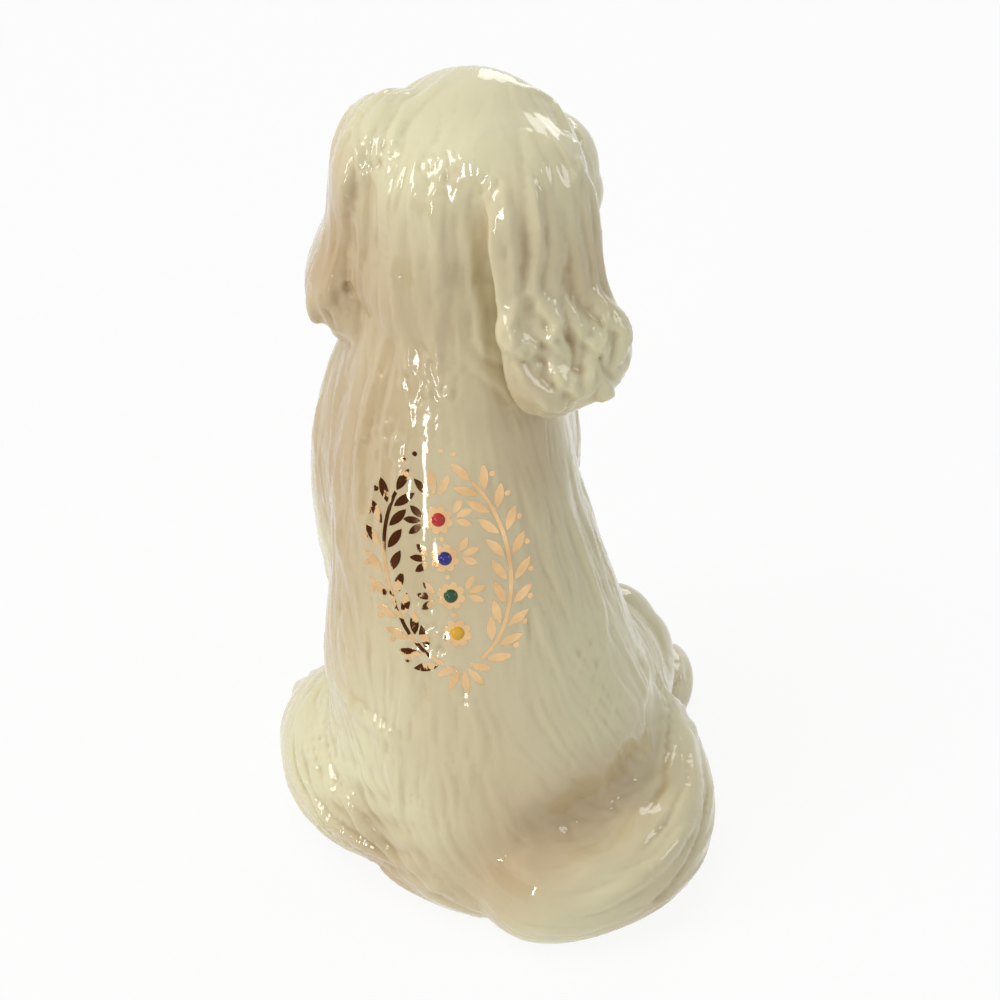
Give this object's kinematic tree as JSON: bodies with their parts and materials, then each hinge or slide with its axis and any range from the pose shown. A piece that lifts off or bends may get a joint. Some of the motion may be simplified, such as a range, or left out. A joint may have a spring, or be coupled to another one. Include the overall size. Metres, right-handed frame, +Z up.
{
  "type": "sitting spaniel figure",
  "caption": "Glazed porcelain figure of a sitting spaniel that looks over its right shoulder, gilded on the back with raised enamel beads.",
  "frame": {"origin": "middle of the torso's foot, on the surface that the figure stands on", "axes": "+X to the dog's left, -Y to the dog's front, +Z up"},
  "size_m": [0.0737, 0.0872, 0.1268],
  "materials": {
    "porcelain": "clear glossy glaze over ivory porcelain",
    "gilding": "burnished gold, fired on the glaze",
    "enamel_red": "opaque glossy enamel",
    "enamel_blue": "opaque glossy enamel",
    "enamel_green": "opaque glossy enamel",
    "enamel_yellow": "opaque glossy enamel",
    "enamel_dark": "opaque glossy enamel"
  },
  "bodies": {
    "root": {"bead_blue": "enamel_blue", "bead_green": "enamel_green", "bead_red": "enamel_red", "bead_yellow": "enamel_yellow", "eye_left": "enamel_dark", "eye_right": "enamel_dark", "gilt_berries_left": "gilding", "gilt_berries_right": "gilding", "gilt_branch_left": "gilding", "gilt_branch_right": "gilding", "gilt_dots": "gilding", "gilt_fan_foot": "gilding", "gilt_fan_top": "gilding", "gilt_rosette_blue": "gilding", "gilt_rosette_green": "gilding", "gilt_rosette_red": "gilding", "gilt_rosette_yellow": "gilding", "gilt_sprigs_left": "gilding", "gilt_sprigs_right": "gilding", "head": "porcelain", "left_ear": "porcelain", "left_foreleg": "porcelain", "left_haunch": "porcelain", "left_hind_paw": "porcelain", "nose": "enamel_dark", "right_ear": "porcelain", "right_foreleg": "porcelain", "right_haunch": "porcelain", "right_hind_paw": "porcelain", "tail": "porcelain", "torso": "porcelain"}
  },
  "joints": []
}
